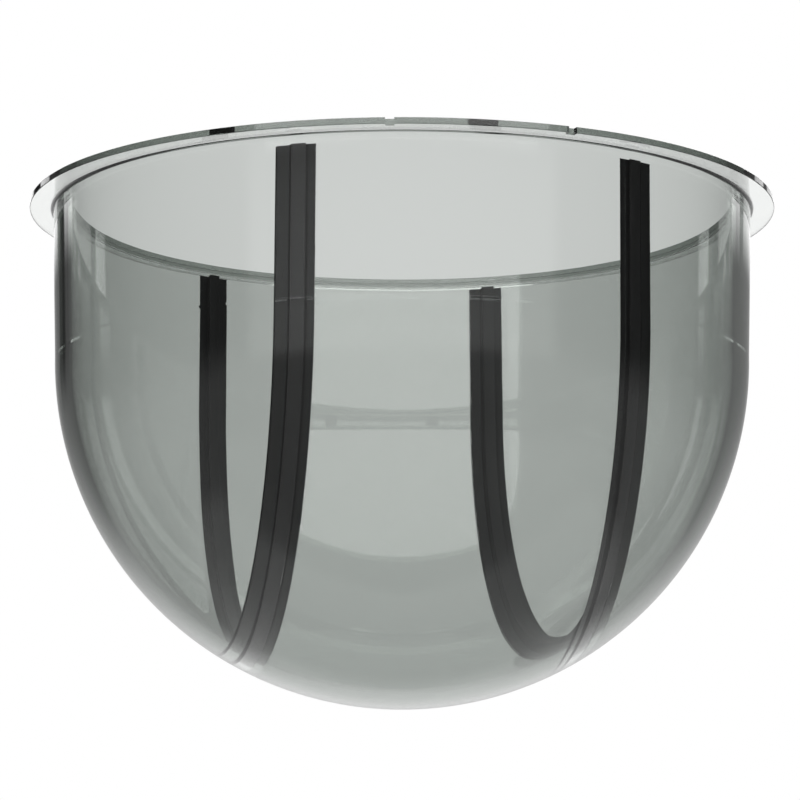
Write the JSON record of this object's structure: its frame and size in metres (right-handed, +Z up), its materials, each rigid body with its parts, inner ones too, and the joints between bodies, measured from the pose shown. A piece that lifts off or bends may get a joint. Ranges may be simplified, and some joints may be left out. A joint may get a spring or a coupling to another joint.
{
  "type": "dome cover",
  "caption": "Smoked see-through bubble dome with a rim flange and black U-shaped strips inlaid inside its wall.",
  "frame": {"origin": "centre of the mouth, on the flange's top face", "axes": "+Z up along the dome's axis, out of the mouth; -Y is the front, the side of the flange with the notches; the strips lie in planes parallel to YZ"},
  "size_m": [0.1836, 0.1836, 0.123],
  "materials": {
    "smoked_clear": "polished smoked clear plastic",
    "black_strip": "satin black"
  },
  "bodies": {
    "root": {"dome_shell": "smoked_clear", "left_strip": "black_strip", "right_strip": "black_strip"}
  },
  "joints": []
}
